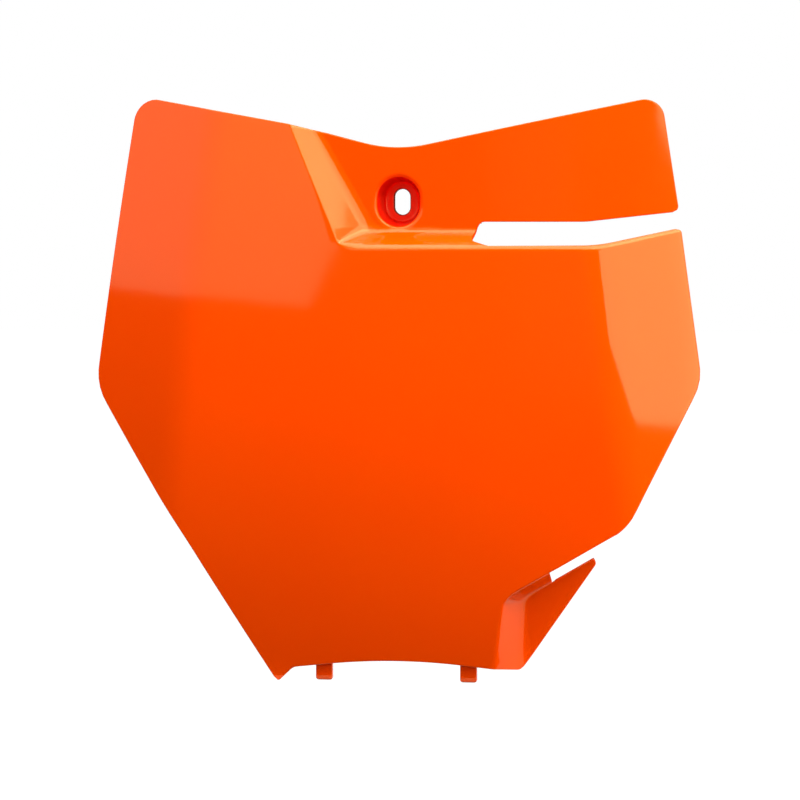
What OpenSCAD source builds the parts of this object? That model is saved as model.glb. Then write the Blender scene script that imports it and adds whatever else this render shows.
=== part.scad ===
// Racing number board for the front of an off-road motorbike.
// One injection-moulded shell: a face with raked cheeks, a recessed wing behind
// a stepped wall, a recessed tail, two hose gaps, a screw cup and two lugs.
// The origin is the middle of the screw slot on the clamp seat, the face looks
// along -Y and the slot stands along Z.

/* [Shell] */
// Thickness of the moulded wall
wall = 2.2; // [1.8:0.1:3]
// Distance of the face's foremost line in front of the clamp seat
face_front = 29; // [27:0.5:34]
// Height of the face's foremost line, from the screw slot
waist_z = -85; // [-95:1:-70]
// Radius of the face across the board
crown_r = 1200; // [800:50:3000]
// Radius of the face's lean above the foremost line
upper_r = 800; // [600:20:1500]
// Radius of the face's lean below the foremost line
lower_r = 560; // [450:10:1200]

/* [Cheeks] */
// Distance of each crease from the middle, at the height of the screw slot
crease_x = 73; // [66:0.5:80]
// How far each crease moves outwards for each millimetre down
crease_splay = 0.13; // [0.05:0.01:0.2]
// Width of the soft bend at each crease
bend_w = 14; // [6:1:20]
// Angle by which each cheek is raked back
rake = 25; // [10:1:35]

/* [Outline] */
// Radius of the tight corners at the hose gap's mouth
mouth_r = 2.5; // [1:0.5:4]
// Left top corner: distance from the middle
left_horn_x = 114; // [108:1:120]
// Left top corner: height above the screw slot
left_horn_z = 44.7; // [38:0.1:52]
// Left top corner: radius
left_horn_r = 10; // [5:1:14]
// Brow, where the top edge turns down to the notch: distance from the middle
brow_x = 43; // [30:1:56]
// Brow: height above the screw slot
brow_z = 31.8; // [29:0.1:35]
// Right top corner: distance from the middle
right_horn_x = 107.2; // [100:0.1:112]
// Right top corner: height above the screw slot
right_horn_z = 43.5; // [38:0.1:52]
// Right top corner: radius
right_horn_r = 8; // [4:1:12]
// Height of the notch between the two top corners
notch_z = 20.9; // [18:0.1:26]
// Left side: reach at its widest corner
left_reach = 130.6; // [125:0.1:136]
// Right side: reach at its widest corner
right_reach = 124.8; // [119:0.5:130]
// Left side: height of its widest corner
left_widest_z = -76.9; // [-84:0.1:-68]
// Right side: height of its widest corner
right_widest_z = -73.6; // [-82:0.1:-66]
// Radius of the widest corners
widest_r = 21; // [10:1:36]
// Left flank, where the lower edge eases inwards: distance from the middle
flank_x = 89.5; // [86:0.1:92]
// Left flank: height of that place
flank_z = -137; // [-146:0.5:-128]
// Left foot: distance from the middle
left_foot_x = 50.6; // [47:0.1:56]
// Left foot: height of its tip
left_foot_z = -199.6; // [-206:0.1:-197]
// Height of the bottom edge beside the feet
hem_z = -193; // [-195:0.1:-189]
// Rise of the bottom edge to its middle
hem_rise = 5; // [1:0.5:8]
// Right foot: distance from the middle
right_foot_x = 50.9; // [48:0.1:55]

/* [Wing] */
// Distance of the wing's flat front in front of the clamp seat
wing_front = 14; // [12:0.5:17]
// Where the wing starts to bend back, from the middle
wing_bend_x = 25; // [18:1:40]
// Radius of the wing's bend
wing_bend_r = 260; // [220:5:500]
// Height of the wing's lower edge
wing_edge_z = -8.2; // [-9.5:0.1:-7]
// How far the wing's lower edge rises at its outer corner
wing_edge_rise = 4.2; // [1:0.1:6]
// Reach of the wing's lower outer corner
wing_reach = 114.6; // [108:0.1:118]

/* [Stepped wall] */
// Crest of the wall where its slanting and level runs meet, from the middle
crest_x = -22.5; // [-25:0.5:-19]
// How far the slanting crest moves out for each millimetre up
crest_slant = 0.43; // [0.34:0.01:0.52]
// Toe of the wall where its slanting and level runs meet, from the middle
toe_x = -8.2; // [-10:0.2:-7.6]
// How far the slanting toe moves out for each millimetre up
toe_slant = 0.58; // [0.5:0.01:0.66]
// Share of the wall that is the rounded crest
crest_share = 0.25; // [0.1:0.05:0.4]
// Share of the wall that is the hollow fillet at its toe
toe_share = 0.4; // [0.1:0.05:0.45]

/* [Hose gap] */
// Height of the face's top edge beside the gap
flap_z = -17.6; // [-19:0.1:-16]
// How far the face's top edge rises at its outer corner
flap_rise = 7.4; // [4:0.1:7.6]
// Reach of the face's top outer corner
flap_reach = 115.8; // [110:0.1:120]
// Width of the face's rolled lip along the gap
lip_w = 2.4; // [1:0.1:4]
// Inner end of the gap, from the middle
gap_end_x = 30.5; // [26:0.5:40]

/* [Tail] */
// Depth of the tail behind the face
tail_depth = 9.5; // [6:0.5:12]
// Reach of the face's lower right corner, above the tail
shoulder_x = 95.9; // [92:0.1:99]
// Height of the face's lower right corner, above the tail
shoulder_z = -132.9; // [-136:0.1:-129]
// Radius of the face's lower right corner
shoulder_r = 24; // [12:1:40]
// Inner end of the tail's gap, from the middle
tail_gap_x = 63; // [60:0.5:68]
// Slope of the tail's gap
tail_slope = 0.59; // [0.54:0.01:0.64]
// Height of the tail's gap, measured upright
tail_gap_h = 5.4; // [4.4:0.1:6]
// Crest of the tail's wall where its two runs meet, from the middle
tail_crest_x = 45; // [42:0.5:48]
// Crest of the tail's wall at the bottom edge, from the middle
tail_hem_x = 41; // [38:0.5:44]
// Toe of the tail's wall, from the middle
tail_toe_x = 54.5; // [52:0.5:57]
// Reach of the tail's tip
tail_tip_x = 84.6; // [80:0.1:88]

/* [Screw cup] */
// Width of the screw slot
slot_w = 6.6; // [5.4:0.1:8.4]
// Length of the screw slot
slot_l = 10.7; // [9:0.1:13]
// Thickness of the cup's floor
floor_t = 2.5; // [2:0.1:4]
// Width of the cup's floor
floor_w = 14.5; // [13:0.1:15]
// Width of the cup at the wing's front
cup_w = 17.5; // [16:0.1:18]
// Length added to the cup along the slot
cup_stretch = 2.6; // [1:0.1:4]
// Radius of the rounded lip round the cup
cup_lip_r = 1.2; // [0.6:0.1:1.5]

/* [Lugs] */
// Half the distance between the lugs
lug_x = 30.3; // [20:0.1:36]
// How far the pair of lugs sits to the left of the screw slot
lug_shift = 1.3; // [0:0.1:2]
// Width of each lug
lug_w = 7; // [6:0.1:10]
// Thickness of each lug
lug_t = 3.2; // [2.5:0.1:6]
// Distance of each lug behind the back of the face
lug_back = 4; // [0.5:0.5:7]
// Height of each lug's lower end
lug_end_z = -198.9; // [-204:0.1:-197]
// Length of the lug's root on the back of the face
lug_root = 13; // [9:1:20]
// Radius of each lug's lower corners
lug_r = 1.3; // [0.5:0.1:2]

/* [Hidden] */

// Angle covered by each straight piece of a rounded corner
arc_step = 11;
// Overlap that makes a cut run clear of the surface it cuts
clear = 1;
// Share of a wall's place over which its two runs blend at their corner
soft = 0.5;

// Edges and lines that the stepped wall follows
flap_bend_x = 83;
flap_bend_rise = 0.3;
wing_bend_edge_x = 77;
gap_lean = 3.5;
gap_tip_z = flap_z + lip_w;
shelf_crest_z = flap_z - lip_w;
shelf_toe_z = wing_edge_z - lip_w;

// Edges and lines that the tail's wall follows
tail_lip = 0.6;
face_hem_z = shoulder_z - tail_slope * (shoulder_x - tail_crest_x);
tail_edge_z = face_hem_z - tail_gap_h;
tail_crest_z = face_hem_z + tail_lip;
tail_toe_z = tail_edge_z - tail_lip;

// Unit vector along v
function unit(v) = v / norm(v);

// Arc of radius r that rounds the corner b between its neighbours a and c
function corner_arc(a, b, c, r) =
    let (
        u = unit(a - b),
        v = unit(c - b),
        half = acos(u * v) / 2,
        middle = b + unit(u + v) * r / sin(half),
        from = b + u * r / tan(half) - middle,
        start = atan2(from.y, from.x),
        sweep = -sign(cross(u, v)) * (180 - 2 * half),
        steps = 2 * ceil(abs(sweep) / arc_step / 2)
    )
    [for (i = [0:steps]) middle + r * [cos(start + sweep * i / steps), sin(start + sweep * i / steps)]];

// First and last half of an arc
function first_half(arc) = [for (i = [0:(len(arc) - 1) / 2]) arc[i]];
function last_half(arc) = [for (i = [(len(arc) - 1) / 2:len(arc) - 1]) arc[i]];

// Edge from the middle of one rounded corner to the middle of another, through
// the corners given as [across, up, radius]
function edge(corners) =
    let (
        n = len(corners),
        arcs = [
            for (i = [1:n - 2])
                corner_arc(
                    [corners[i - 1].x, corners[i - 1].y],
                    [corners[i].x, corners[i].y],
                    [corners[i + 1].x, corners[i + 1].y],
                    corners[i].z
                )
        ]
    )
    concat(
        last_half(arcs[0]),
        [for (i = [1:1:n - 4]) each arcs[i]],
        first_half(arcs[n - 3])
    );

// An edge as a table for lookup(): height at x, or distance across at height z
function height_table(points) = [for (p = points) [p.x, p.y]];
function across_table(points) = [for (p = points) [p.y, p.x]];

// Corners of the outline as [across, up, radius], seen from the front
left_horn = [-left_horn_x, left_horn_z, left_horn_r];
brow = [-brow_x, brow_z, 60];
notch = [-1.5, notch_z, 58];
right_horn = [right_horn_x, right_horn_z, right_horn_r];
wing_corner = [wing_reach, wing_edge_z + wing_edge_rise, mouth_r];
wing_bend = [wing_bend_edge_x, wing_edge_z, 40];
gap_top = [gap_end_x + gap_lean, wing_edge_z, 3];
gap_tip = [gap_end_x, gap_tip_z, 1.6];
gap_foot = [gap_end_x + 8, flap_z, 4];
flap_bend = [flap_bend_x, flap_z + flap_bend_rise, 60];
flap_corner = [flap_reach, flap_z + flap_rise, mouth_r];
right_side = [right_reach, right_widest_z, widest_r];
shoulder = [shoulder_x, shoulder_z, shoulder_r];
tail_gap_top = [tail_gap_x, face_hem_z + tail_lift(tail_gap_x), 0.8];
tail_gap_foot = [tail_gap_x, tail_edge_z + tail_lift(tail_gap_x), 0.8];
tail_tip = [tail_tip_x, tail_edge_z + tail_lift(tail_tip_x), 1.5];
right_foot = [right_foot_x, hem_z - 0.6, 3];
hem_middle = [0, hem_z + hem_rise, 250];
hem_step = [7 - left_foot_x, hem_z, 5];
left_foot = [-left_foot_x, left_foot_z, 1.5];
left_flank = [-flank_x, flank_z, 500];
left_side = [-left_reach, left_widest_z, widest_r];

// Edges of the board between those corners
top_edge = height_table(edge([left_side, left_horn, brow, notch, right_horn, wing_corner]));
wing_side = across_table(edge([notch, right_horn, wing_corner, wing_bend]));
wing_edge = height_table(edge([right_horn, wing_corner, wing_bend, gap_top, gap_tip]));
gap_end = across_table(edge([wing_bend, gap_top, gap_tip, gap_foot, flap_bend]));
flap_edge = height_table(edge([gap_tip, gap_foot, flap_bend, flap_corner, right_side]));
flap_side = across_table(edge([flap_bend, flap_corner, right_side, shoulder, tail_gap_top]));
face_hem = height_table(edge([right_side, shoulder, tail_gap_top, tail_gap_foot]));
tail_side = across_table(edge([tail_gap_foot, tail_tip, right_foot, hem_middle]));
hem = height_table(edge([tail_tip, right_foot, hem_middle, hem_step, left_foot, left_flank]));
left_edge = across_table(edge([hem_step, left_foot, left_flank, left_side, left_horn, brow]));

// Half the distance between the creases at height z
crease = function (z) crease_x - crease_splay * z;

// Setback of a cheek at a distance u outside its crease: a soft bend, then a flat
function setback(u) =
    u <= 0 ? 0 :
    u < bend_w ? tan(rake) * u * u / (2 * bend_w) :
    tan(rake) * (u - bend_w / 2);

// Lean of the face above and below its foremost line
function lean(z) = pow(z - waist_z, 2) / (2 * (z > waist_z ? upper_r : lower_r));

// Front of the face
function face_y(x, z) = -face_front + x * x / (2 * crown_r) + lean(z) + setback(abs(x) - crease(z));

// Front of the wing: flat round the screw cup, then bent back
function wing_y(x) = -wing_front + pow(max(0, x - wing_bend_x), 2) / (2 * wing_bend_r);

// Rise of the face's top edge, of the wing's lower edge and of the tail's gap
function flap_lift(x) = flap_rise * max(0, x - flap_bend_x) / (flap_reach - flap_bend_x);
function wing_lift(x) = wing_edge_rise * max(0, x - wing_bend_edge_x) / (wing_reach - wing_bend_edge_x);
function tail_lift(x) = tail_slope * max(0, x - tail_crest_x);

// Crest and toe of the slanting run of the stepped wall, across at height z
crest_line = function (z) crest_x - crest_slant * max(0, z - shelf_crest_z);
toe_line = function (z) toe_x - toe_slant * max(0, z - shelf_toe_z);

// Crest of the upright run of the tail's wall, across at height z
tail_line = function (z)
    tail_crest_x - (tail_crest_x - tail_hem_x) * max(0, tail_crest_z - z) / (tail_crest_z - hem_z);

// Smaller of two numbers, with a soft change-over of width k
function soft_min(a, b, k) = min(a, b) - pow(max(0, k - abs(a - b)), 2) / (4 * k);

// Way down a wall as a share of its depth: rounded crest, straight run, hollow toe
function wall_curve(t) =
    let (run = 1 / (1 - crest_share / 2 - toe_share / 2))
    t <= 0 ? 0 :
    t >= 1 ? 1 :
    t < crest_share ? run * t * t / (2 * crest_share) :
    t > 1 - toe_share ? 1 - run * pow(1 - t, 2) / (2 * toe_share) :
    run * (t - crest_share / 2);

// Place across the stepped wall, 0 at its crest and 1 at its toe
function step_place(x, z) =
    let (
        crest_z = shelf_crest_z + flap_lift(x),
        toe_z = shelf_toe_z + wing_lift(x),
        slanting = (x - crest_line(z)) / (toe_line(z) - crest_line(z)),
        level = (z - crest_z) / (toe_z - crest_z)
    )
    soft_min(slanting, level, soft);

// Place across the tail's wall, 0 at its crest and 1 at its toe
function tail_place(x, z) =
    let (
        upright = (x - tail_line(z)) / (tail_toe_x - tail_line(z)),
        sloping = (tail_crest_z + tail_slope * (x - tail_crest_x) - z) / (tail_crest_z - tail_toe_z)
    )
    soft_min(upright, sloping, soft);

// Front of the whole shell: the face, stepped down to the wing and to the tail
function front_y(x, z) =
    let (
        face = face_y(x, z),
        step = wall_curve(step_place(x, z))
    )
    face + step * (wing_y(x) - face) + tail_depth * wall_curve(tail_place(x, z));

// Normal of the front, pointing into the wall
function inward(x, z) =
    let (
        h = 0.05,
        across = (front_y(x + h, z) - front_y(x - h, z)) / (2 * h),
        up = (front_y(x, z + h) - front_y(x, z - h)) / (2 * h)
    )
    unit([-across, 1, -up]);

// Rows of points from the bottom edge to the top edge: the height of each
// marked row in the middle of the board, and how many steps lead to the next
row_marks = [
    [left_foot_z, 7],
    [tail_toe_z, 1],
    [tail_edge_z, 4],
    [face_hem_z, 1],
    [tail_crest_z, 9],
    [waist_z, 7],
    [shelf_crest_z, 3],
    [flap_z, 3],
    [gap_tip_z, 3],
    [shelf_toe_z, 2],
    [wing_edge_z, 2],
    [wing_edge_z + mouth_r, 5],
    [right_horn_z - right_horn_r - 2, 3],
    [left_horn_z, 0]
];

// Rise of a row at x above its height in the middle, so that rows follow the
// edges of the board and both walls
function lift(x, z) =
    lookup(z, [
        [left_foot_z, lookup(x, hem) - left_foot_z],
        [tail_toe_z, tail_lift(x)],
        [tail_edge_z, tail_lift(x)],
        [face_hem_z, x < tail_gap_x ? tail_lift(x) : lookup(x, face_hem) - face_hem_z],
        [tail_crest_z, tail_lift(x)],
        [waist_z, 0],
        [shelf_crest_z, flap_lift(x)],
        [flap_z, x < gap_end_x + 8 ? 0 : lookup(x, flap_edge) - flap_z],
        [gap_tip_z, 0],
        [shelf_toe_z, wing_lift(x)],
        [wing_edge_z, x < gap_end_x + gap_lean ? 0 : lookup(x, wing_edge) - wing_edge_z],
        [wing_edge_z + mouth_r, wing_lift(x)],
        [left_horn_z, lookup(x, top_edge) - left_horn_z]
    ]);

// Where the row marked z crosses a line, found by closing in on it from x
function crossing(z, line, x = 0, rounds = 12) =
    rounds == 0 ? x : crossing(z, line, line(z + lift(x, z)), rounds - 1);

// Edge that a row runs out to on the right
function right_edge(z) =
    z >= wing_edge_z ? wing_side :
    z >= face_hem_z ? flap_side :
    tail_side;

// Columns that a row crosses: sides, creases, gap ends and the edges of both walls
function column_marks(z) =
    let (
        left = crossing(z, function (h) lookup(h, left_edge), -left_horn_x),
        right = crossing(z, function (h) lookup(h, right_edge(z)), right_foot_x),
        fold = crossing(z, crease),
        gap = z > wing_edge_z ? gap_end_x + gap_lean : z < flap_z ? gap_end_x + 8 : lookup(z, gap_end),
        room = 0.6
    )
    [
        [left, 3],
        [max(-fold - bend_w, left + 4), 4],
        [max(-fold, left + 8), 6],
        [crossing(z, crest_line), 7],
        [crossing(z, toe_line), 7],
        [min(gap, tail_line(z) - 4), 2],
        [tail_line(z), 5],
        [min(tail_toe_x, right - 4 * room), 2],
        [min(tail_gap_x, right - 3 * room), 3],
        [min(fold, right - 2 * room), 4],
        [min(fold + bend_w, right - room), 4],
        [right, 0]
    ];

// Even steps from each mark to the next, as many as the mark asks for
function steps_between(marks) = [
    for (i = [0:len(marks) - 2]) for (k = [0:marks[i][1] - 1])
        marks[i][0] + (marks[i + 1][0] - marks[i][0]) * k / marks[i][1],
    marks[len(marks) - 1][0]
];

// Number of steps before the mark with index n
function steps_before(marks, n) = n == 0 ? 0 : marks[n - 1][1] + steps_before(marks, n - 1);

// Cells of the grid that the two hose gaps leave open: columns from a gap's
// inner end outwards, rows between the edges on either side of the gap
function in_hose_gap(i, j) =
    i >= steps_before(column_marks(0), 5) && j >= steps_before(row_marks, 7) && j < steps_before(row_marks, 10);
function in_tail_gap(i, j) =
    i >= steps_before(column_marks(0), 8) && j >= steps_before(row_marks, 2) && j < steps_before(row_marks, 3);

// Solid between a front sheet of points and the same sheet set back by the wall
module shell() {
    heights = steps_between(row_marks);
    rows = [for (z = heights) [for (x = steps_between(column_marks(z))) [x, z + lift(x, z)]]];
    nx = len(rows[0]) - 1;
    ny = len(rows) - 1;
    front = [for (row = rows) for (p = row) [p.x, front_y(p.x, p.y), p.y]];
    back = [for (p = front) p + wall * inward(p.x, p.z)];
    function solid_at(i, j) =
        i >= 0 && i < nx && j >= 0 && j < ny && !in_hose_gap(i, j) && !in_tail_gap(i, j);
    function f(i, j) = j * (nx + 1) + i;
    function b(i, j) = f(i, j) + len(front);
    faces = [
        for (j = [0:ny - 1]) for (i = [0:nx - 1]) if (solid_at(i, j)) each [
            [f(i, j), f(i, j + 1), f(i + 1, j + 1), f(i + 1, j)],
            [b(i, j), b(i + 1, j), b(i + 1, j + 1), b(i, j + 1)],
            if (!solid_at(i, j - 1)) [f(i, j), f(i + 1, j), b(i + 1, j), b(i, j)],
            if (!solid_at(i, j + 1)) [f(i, j + 1), b(i, j + 1), b(i + 1, j + 1), f(i + 1, j + 1)],
            if (!solid_at(i - 1, j)) [f(i, j), b(i, j), b(i, j + 1), f(i, j + 1)],
            if (!solid_at(i + 1, j)) [f(i + 1, j), f(i + 1, j + 1), b(i + 1, j + 1), b(i + 1, j)]
        ]
    ];
    polyhedron(concat(front, back), faces);
}

// Tapered stadium along Y: radius r0 at y0 and r1 at y1, stretched along Z
module taper(y0, r0, y1, r1, stretch) {
    side = [[-r0, y0], [r0, y0], [r1, y1], [-r1, y1]];
    for (s = [-1, 1])
        translate([0, y0, s * stretch / 2])
            rotate([-90, 0, 0])
                cylinder(h = y1 - y0, r1 = r0, r2 = r1, $fn = 64);
    translate([0, 0, -stretch / 2])
        linear_extrude(stretch)
            polygon(side);
}

// Outside of the screw cup, from inside the wing's wall to the clamp seat
module cup_boss() {
    taper(-wing_front + wall / 2, cup_w / 2 + wall, 0, floor_w / 2 + wall, cup_stretch);
}

// Hollow of the screw cup, with a flared lip, and the slot through its floor
module cup_hollow() {
    lip_y = -wing_front + cup_lip_r;
    taper(lip_y, cup_w / 2, -floor_t, floor_w / 2, cup_stretch);
    taper(-wing_front - clear, cup_w / 2 + cup_lip_r + clear, lip_y + 0.01, cup_w / 2, cup_stretch);
    taper(-floor_t - clear, slot_w / 2, clear, slot_w / 2, slot_l - slot_w);
}

// Lug behind the bottom edge: a root on the back of the face and a tab below it
module lug(x) {
    mid = wall / 2;
    seat_y = face_y(lug_x, hem_z) + mid;
    tab_y = seat_y + wall / 2 + lug_back;
    root_z = hem_z + lug_root;
    profile = [
        [face_y(lug_x, root_z) + mid, root_z],
        [seat_y, hem_z + 4],
        [tab_y, hem_z + 3],
        [tab_y, lug_end_z],
        [tab_y + lug_t, lug_end_z],
        [tab_y + lug_t, root_z - 5]
    ];
    low = lug_end_z + lug_r;
    intersection() {
        translate([x - lug_w / 2 - clear, 0, 0])
            rotate([90, 0, 90])
                linear_extrude(lug_w + 2 * clear)
                    polygon(profile);
        union() {
            translate([x - lug_w / 2, -face_front, low])
                cube([lug_w, 2 * face_front, root_z - low]);
            translate([x - lug_w / 2 + lug_r, -face_front, lug_end_z])
                cube([lug_w - 2 * lug_r, 2 * face_front, 2 * lug_r]);
            for (s = [-1, 1])
                translate([x + s * (lug_w / 2 - lug_r), 0, low])
                    rotate([90, 0, 0])
                        cylinder(h = 2 * face_front, r = lug_r, center = true, $fn = 32);
        }
    }
}

// The board as it leaves the mould
module number_board() {
    color("orangered")
        difference() {
            union() {
                shell();
                cup_boss();
                for (s = [-1, 1])
                    lug(s * lug_x - lug_shift);
            }
            cup_hollow();
        }
}

number_board();
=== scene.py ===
# %% [markdown]
# # A racing number board, moulded in orange plastic
#
# The real thing is the front number board of an off-road motorbike: one glossy
# shell of polypropylene, about 250 mm wide and 2 mm thick. Its face is curved
# both ways, its cheeks are raked back, a stepped wall drops to a wing with a
# screw cup, and two open gaps run in from its right side.
#
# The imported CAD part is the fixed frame. Its faces are flat facets, which a
# glossy finish would show, so a finer surface with rounded edges stands for it.

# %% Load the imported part
import math

import bpy
import numpy as np
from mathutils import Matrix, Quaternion, Vector


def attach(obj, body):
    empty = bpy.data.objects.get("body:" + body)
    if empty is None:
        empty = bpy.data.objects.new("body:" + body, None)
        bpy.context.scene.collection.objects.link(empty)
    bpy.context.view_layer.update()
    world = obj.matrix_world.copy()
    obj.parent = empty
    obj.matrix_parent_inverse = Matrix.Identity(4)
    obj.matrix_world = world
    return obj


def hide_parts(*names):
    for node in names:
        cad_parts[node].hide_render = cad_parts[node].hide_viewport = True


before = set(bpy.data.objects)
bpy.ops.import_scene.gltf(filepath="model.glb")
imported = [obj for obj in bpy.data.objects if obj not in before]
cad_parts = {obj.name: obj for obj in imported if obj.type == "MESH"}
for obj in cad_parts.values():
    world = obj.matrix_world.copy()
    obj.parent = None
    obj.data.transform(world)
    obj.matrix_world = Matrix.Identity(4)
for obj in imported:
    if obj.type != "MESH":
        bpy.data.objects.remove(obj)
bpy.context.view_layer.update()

MM = 0.001
print("nodes:", list(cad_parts))

# %% [markdown]
# ## Sizes
#
# These are the part's own sizes, in millimetres and under the same names, so
# that the two can be compared. X runs across the board, Y points backwards, Z
# up, and the origin is the middle of the screw slot on the seat behind it.
#
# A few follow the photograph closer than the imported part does: the tail's edges
# by up to 1.5 mm, and the roundness of the walls' crests and of the cup's lip.

# %% Sizes of the face
WALL = 2.2  # thickness of the moulded wall
RIM_R = 0.45  # radius of the rounding on every edge
FACE_FRONT = 29  # distance of the face's foremost line in front of the clamp seat
WAIST_Z = -85  # height of the foremost line
CROWN_R = 1200  # radius of the face across the board
UPPER_R = 800  # radius of the face's lean above the foremost line
LOWER_R = 560  # radius of the face's lean below it
CREASE_X = 73  # distance of each crease from the middle, at the screw slot's height
CREASE_SPLAY = 0.13  # how far each crease moves outwards for each millimetre down
BEND_W = 14  # width of the soft bend at each crease
RAKE = math.tan(math.radians(25))  # slope by which each cheek is raked back
LEFT_HORN_Z = 44.7  # height of the left top corner
LEFT_FOOT_X = 50.6  # distance of the left foot from the middle
LEFT_FOOT_Z = -199.6  # height of the left foot's tip
HEM_Z = -193  # height of the bottom edge beside the feet
SHOULDER_X = 95.9  # reach of the face's lower right corner, above the tail
SHOULDER_Z = -132.9  # height of that corner
print("setback of a cheek 40 mm outside its crease, mm:", round(RAKE * (40 - BEND_W / 2), 1))

# %% Sizes of the wing, the hose gap and the stepped wall
WING_FRONT = 14  # distance of the wing's flat front in front of the clamp seat
WING_BEND_X = 25  # where the wing starts to bend back
WING_BEND_R = 260  # radius of that bend
WING_EDGE_Z = -8.2  # height of the wing's lower edge
WING_EDGE_RISE = 4.2  # how far that edge rises at its outer corner
WING_BEND_EDGE_X = 77  # where it starts to rise
WING_REACH = 114.6  # reach of its outer corner
FLAP_Z = -17.6  # height of the face's top edge beside the gap
FLAP_RISE = 7.4  # how far that edge rises at its outer corner
FLAP_BEND_X = 83  # where it starts to rise
FLAP_REACH = 115.8  # reach of its outer corner
LIP_W = 2.4  # width of the face's rolled lip along the gap
GAP_END_X = 30.5  # inner end of the gap, at its tip
GAP_LEAN = 3.5  # how much further out the gap's upper corner is
GAP_FOOT_X = GAP_END_X + 8  # the gap's lower corner
MOUTH_R = 2.5  # radius of the tight corners at the gap's mouth
CREST_X = -22.5  # crest of the wall where its slanting and level runs meet
CREST_SLANT = 0.43  # how far the slanting crest moves out for each millimetre up
TOE_X = -8.2  # toe of the wall where its slanting and level runs meet
TOE_SLANT = 0.58  # how far the slanting toe moves out for each millimetre up
CREST_SHARE = 0.05  # share of the slanting wall that is its rounded crest
SHELF_CREST_SHARE = 0.45  # the same share of the level wall
TOE_SHARE = 0.4  # share of each wall that is the hollow fillet at its toe
SOFT = 0.5  # share of the wall over which two runs of it blend
GAP_TIP_Z = FLAP_Z + LIP_W
SHELF_CREST_Z = FLAP_Z - LIP_W
SHELF_TOE_Z = WING_EDGE_Z - LIP_W
print("height of the hose gap at its inner end, mm:", round(WING_EDGE_Z - FLAP_Z, 1))

# %% Sizes of the tail
TAIL_DEPTH = 9.5  # depth of the tail behind the face
TAIL_GAP_X = 64  # inner end of the tail's gap
TAIL_SLOPE = 0.59  # slope of the tail's gap
TAIL_GAP_H = 4.6  # height of the tail's gap, measured upright
TAIL_LIP = 0.6  # width of the rolled lips along the tail's gap
TAIL_CREST_X = 45  # crest of the tail's wall where its two runs meet
TAIL_HEM_X = 39.5  # that crest at the bottom edge
TAIL_TOE_X = 54.5  # toe of the tail's wall
TAIL_TIP_X = 85.5  # reach of the tail's tip
FACE_HEM_Z = SHOULDER_Z - TAIL_SLOPE * (SHOULDER_X - TAIL_CREST_X)
TAIL_EDGE_Z = FACE_HEM_Z - TAIL_GAP_H
TAIL_CREST_Z = FACE_HEM_Z + TAIL_LIP
TAIL_TOE_Z = TAIL_EDGE_Z - TAIL_LIP
print("width of the tail's gap, mm:", round(TAIL_GAP_H / math.hypot(1, TAIL_SLOPE), 1))

# %% Sizes of the screw cup and the lugs
SLOT_W = 6.6  # width of the screw slot
SLOT_L = 10.7  # length of the screw slot
SLOT_EDGE_R = 0.35  # rounding of the slot's edges
SLOT_RING = 1.5  # width of the flat ring of faces round the slot, on the floor
SEAT_RING = 3  # the same on the seat behind it
FLOOR_T = 2.5  # thickness of the cup's floor
FLOOR_W = 14.5  # width of the cup's floor
FLOOR_R = 1.2  # radius between the cup's floor and its wall
CUP_W = 17.5  # width of the cup at the wing's front
CUP_STRETCH = 2.6  # length added to the cup along the slot
CUP_LIP_R = 1.9  # radius of the rounded lip round the cup
SEAT_EDGE_R = 0.6  # rounding of the seat's edge, at the back
CUP_ROOT_R = 1  # radius between the cup's outside and the wing's back
LUG_X = 30.3  # half the distance between the lugs
LUG_SHIFT = 1.3  # how far the pair of lugs sits to the left of the screw slot
LUG_W = 7  # width of each lug
LUG_T = 3.2  # thickness of each lug
LUG_BACK = 4  # distance of each lug behind the back of the face
LUG_END_Z = -198.9  # height of each lug's lower end
LUG_END_R = 1.2  # radius of that end
LUG_EDGE_R = 0.6  # rounding of its long edges
LUG_GUSSET = (13, 11.3, 9.6, 8)  # rings of its gusset: heights above the bottom edge
LUG_ROOT = (4, 3.3, 3, 2.6)  # rings where it leaves the face: heights above that edge
print("depth of the screw cup, mm:", WING_FRONT - FLOOR_T)

# %% [markdown]
# ## The front as one formula
#
# A moulding is one wall, so its front can be one function: give it a place
# across (x) and up (z), and it answers with the depth (y). Sculpting would give
# the same look, but a formula keeps the face's curve exactly even, and an even
# curve is what a glossy reflection shows up.
#
# The face is the sum of a slight crown, a lean above and below its foremost
# line and a setback outside each crease. The wing and the tail are the face
# moved back, and each wall is the change-over between them.

# %% The face, its creases and the wing
def crease(z):
    """Half the distance between the creases: it grows evenly downwards."""
    return CREASE_X - CREASE_SPLAY * z


def setback(u):
    """Parabola over the soft bend's width, then a straight line with the rake's slope."""
    return RAKE * (np.clip(u, 0, BEND_W) ** 2 / (2 * BEND_W) + np.maximum(u - BEND_W, 0))


def face_y(x, z):
    """Crown x^2 / 2R, plus lean (z - waist)^2 / 2R, plus the setback outside the crease."""
    crown = x**2 / (2 * CROWN_R)
    lean = (z - WAIST_Z) ** 2 / (2 * np.where(z > WAIST_Z, UPPER_R, LOWER_R))
    return -FACE_FRONT + crown + lean + setback(abs(x) - crease(z))


def wing_y(x):
    """Flat round the screw cup, then a parabola that bends back."""
    return -WING_FRONT + np.maximum(x - WING_BEND_X, 0) ** 2 / (2 * WING_BEND_R)


print("foremost line of the face, mm:", float(face_y(0, WAIST_Z)))


# %% Where the edges rise and where the walls run
def flap_lift(x):
    """Rise of the face's top edge: straight outside its bend."""
    return FLAP_RISE * np.maximum(x - FLAP_BEND_X, 0) / (FLAP_REACH - FLAP_BEND_X)


def wing_lift(x):
    """Rise of the wing's lower edge: straight outside its bend."""
    return WING_EDGE_RISE * np.maximum(x - WING_BEND_EDGE_X, 0) / (WING_REACH - WING_BEND_EDGE_X)


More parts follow.
